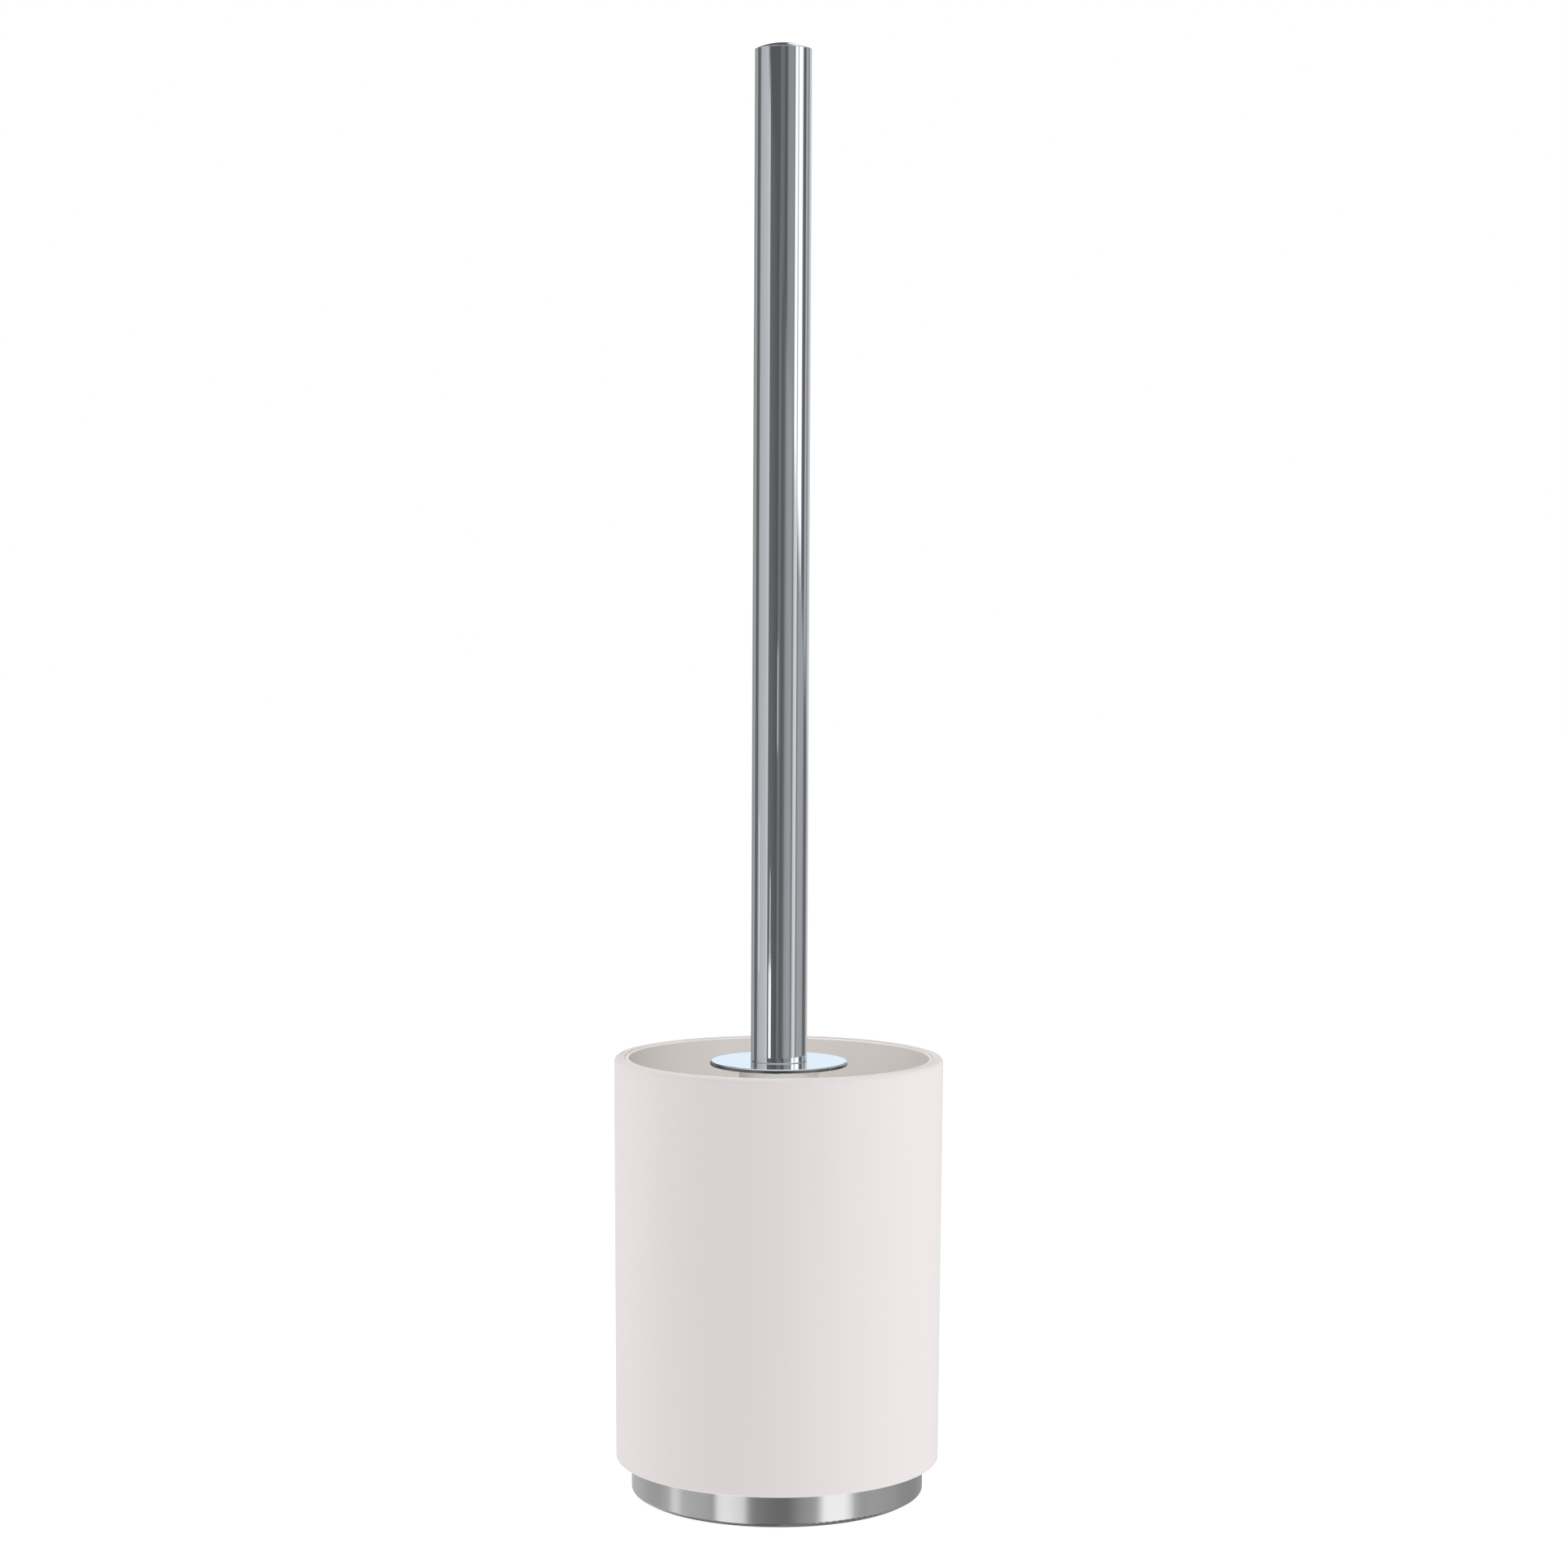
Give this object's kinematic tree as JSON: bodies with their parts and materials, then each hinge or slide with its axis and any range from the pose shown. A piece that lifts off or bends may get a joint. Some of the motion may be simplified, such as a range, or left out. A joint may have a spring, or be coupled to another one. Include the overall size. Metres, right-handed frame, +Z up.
{
  "type": "toilet brush holder",
  "caption": "Round tapered matte holder on a brushed steel base ring, with a drip liner and a bristle brush that has a chrome tube handle and a mirror splash disc.",
  "frame": {"origin": "centre of the base, on the surface that the holder stands on", "axes": "+Z up along the holder and the handle; the part is round, so X and Y are level and free to choose"},
  "size_m": [0.0936, 0.0936, 0.4095],
  "materials": {
    "shell": "matte",
    "ring_steel": "satin",
    "base_plastic": "matte",
    "screw_steel": "satin",
    "pad_rubber": "matte",
    "liner": "matte",
    "core_plastic": "satin",
    "stud_steel": "satin",
    "bristles": "satin",
    "disc_chrome": "polished",
    "handle_chrome": "polished",
    "insert_plastic": "satin"
  },
  "bodies": {
    "holder": {"outer_shell": "shell", "base_ring": "ring_steel", "base_plate": "base_plastic", "base_screws": "screw_steel", "anti_slip_ring": "pad_rubber"},
    "liner": {"inner_liner": "liner"},
    "brush_head": {"brush_core": "core_plastic", "threaded_stud": "stud_steel", "bristle_row_01": "bristles", "bristle_row_02": "bristles", "bristle_row_03": "bristles", "bristle_row_04": "bristles", "bristle_row_05": "bristles", "bristle_row_06": "bristles", "bristle_row_07": "bristles", "bristle_row_08": "bristles", "bristle_row_09": "bristles", "bristle_end_tufts": "bristles"},
    "disc": {"splash_disc": "disc_chrome"},
    "handle": {"handle_tube": "handle_chrome", "end_cap": "handle_chrome", "threaded_insert": "insert_plastic"}
  },
  "joints": [
    {"name": "liner_lift", "type": "slide", "parent": "holder", "child": "liner", "axis": [0, 0, 1], "range_m": [0, 0.125]},
    {"name": "brush_lift", "type": "slide", "parent": "liner", "child": "brush_head", "axis": [0, 0, 1], "range_m": [0, 0.125]},
    {"name": "disc_rise", "type": "slide", "parent": "brush_head", "child": "disc", "axis": [0, 0, 1], "range_m": [0, 0.0125]},
    {"name": "handle_unscrew", "type": "hinge", "parent": "disc", "child": "handle", "pos_m": [0, 0, 0.1233], "axis": [0, 0, 1], "range_deg": [0, 3600]}
  ],
  "couplings": [
    {"joint": "disc_rise", "follows": "handle_unscrew", "m_per_rad": 0.00019894}
  ]
}
